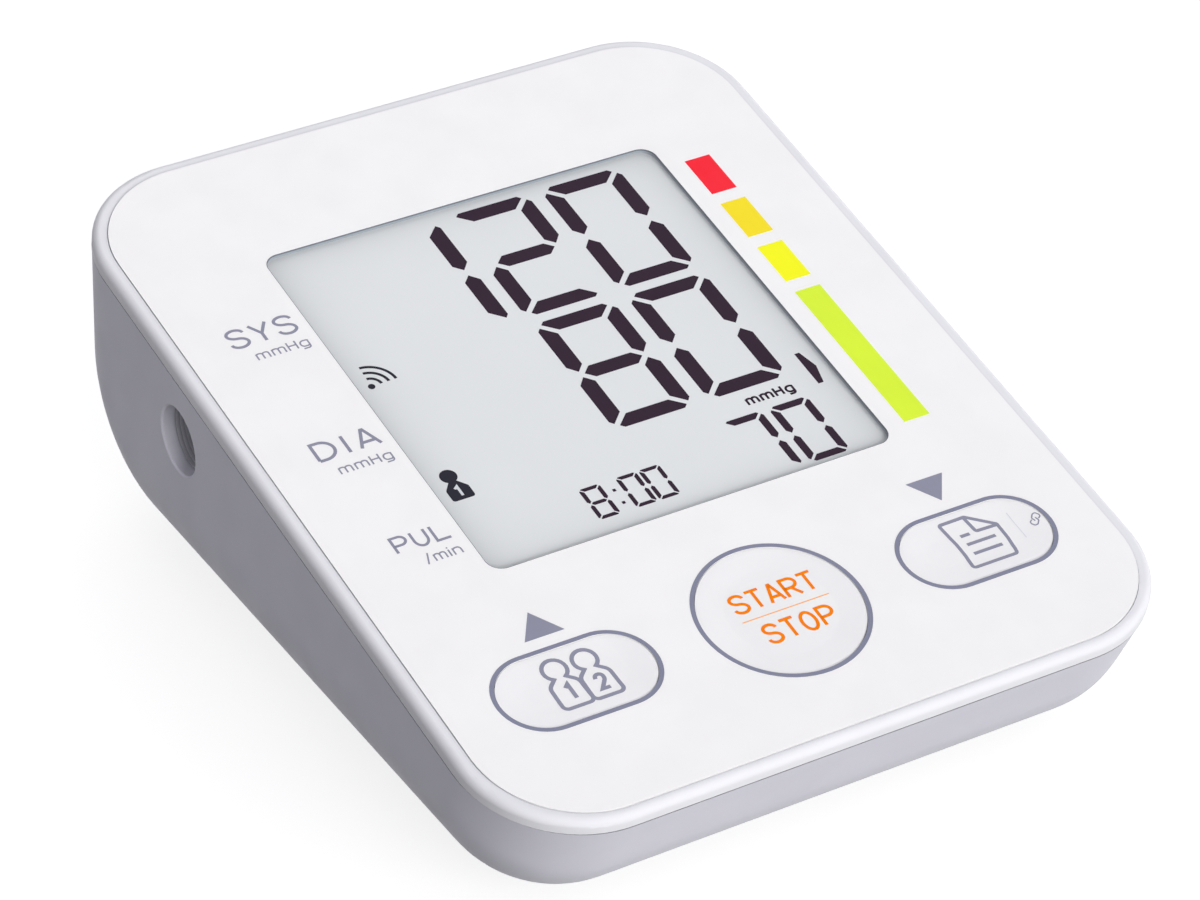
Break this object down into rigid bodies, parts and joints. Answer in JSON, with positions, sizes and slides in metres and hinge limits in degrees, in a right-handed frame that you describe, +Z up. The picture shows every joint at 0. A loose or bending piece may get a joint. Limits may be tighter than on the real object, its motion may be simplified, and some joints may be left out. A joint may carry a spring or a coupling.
{
  "type": "blood pressure monitor",
  "caption": "Wedge-shaped desk unit of an upper-arm blood pressure monitor: large display on a sloping face, round start button, side buttons and an air socket on its left side.",
  "frame": {"origin": "centre of the bounding box, at the level of the surface the feet stand on", "axes": "+Z up; +Y towards the high back edge; +X to the right as seen by the user; the face slopes down towards -Y"},
  "size_m": [0.1, 0.1272, 0.0463],
  "materials": {
    "tray_plastic": "satin",
    "bezel_plastic": "satin",
    "panel_white": "smooth",
    "button_white": "smooth",
    "ring_grey": "satin",
    "display_film": "smooth",
    "display_glass": "clear",
    "white_plastic": "matt",
    "black_plastic": "matt",
    "socket_plastic": "matt",
    "conductive_rubber": "matt",
    "board_green": "solder mask",
    "shield_can": "tinned",
    "capacitor_can": "sleeved",
    "switch_plunger": "matt",
    "screw_steel": "zinc plated",
    "silicone": "matt",
    "valve_steel": "plated",
    "motor_can": "plated",
    "foam_rubber": "matt",
    "cell_wrap": "plain wrap",
    "contact_nickel": "nickel plated",
    "foot_rubber": "matt"
  },
  "bodies": {
    "housing": {"bottom_case": "tray_plastic", "top_case": "bezel_plastic", "face_panel": "panel_white", "start_ring": "ring_grey", "side_button_rings": "ring_grey", "lcd_film": "display_film", "lcd_front_glass": "display_glass", "lcd_rear_glass": "display_glass", "lcd_holder": "white_plastic", "zebra_strips": "conductive_rubber", "main_board": "board_green", "mcu_chip": "black_plastic", "wireless_module": "shield_can", "pressure_sensor": "black_plastic", "buzzer": "black_plastic", "capacitors": "capacitor_can", "switch_bodies": "black_plastic", "case_screws": "screw_steel", "board_screws": "screw_steel", "air_socket": "socket_plastic", "air_manifold": "white_plastic", "socket_hose": "silicone", "valve_hose": "silicone", "pump_hose": "silicone", "sensor_hose": "silicone", "exhaust_valve": "valve_steel", "pump_motor": "motor_can", "pump_head": "black_plastic", "pump_sleeve": "foam_rubber", "cells": "cell_wrap", "plate_contacts": "contact_nickel", "leaf_contacts": "contact_nickel", "rubber_feet": "foot_rubber"},
    "start_key": {"start_button": "button_white", "start_plunger": "switch_plunger"},
    "user_key": {"user_button": "button_white", "user_plunger": "switch_plunger"},
    "memory_key": {"memory_button": "button_white", "memory_plunger": "switch_plunger"},
    "door": {"battery_door": "tray_plastic"}
  },
  "joints": [
    {"name": "start_press", "type": "slide", "parent": "housing", "child": "start_key", "axis": [0, 0.2011, -0.9796], "range_m": [0, 0.0006], "stiffness_N_per_m": 2000, "springref_m": -0.0001},
    {"name": "user_press", "type": "slide", "parent": "housing", "child": "user_key", "axis": [0, 0.2011, -0.9796], "range_m": [0, 0.0006], "stiffness_N_per_m": 2000, "springref_m": -0.0001},
    {"name": "memory_press", "type": "slide", "parent": "housing", "child": "memory_key", "axis": [0, 0.2011, -0.9796], "range_m": [0, 0.0006], "stiffness_N_per_m": 2000, "springref_m": -0.0001},
    {"name": "door_hinge", "type": "hinge", "parent": "housing", "child": "door", "pos_m": [0, -0.0282, 0.0021], "axis": [-1, 0, 0], "range_deg": [0, 85]}
  ]
}
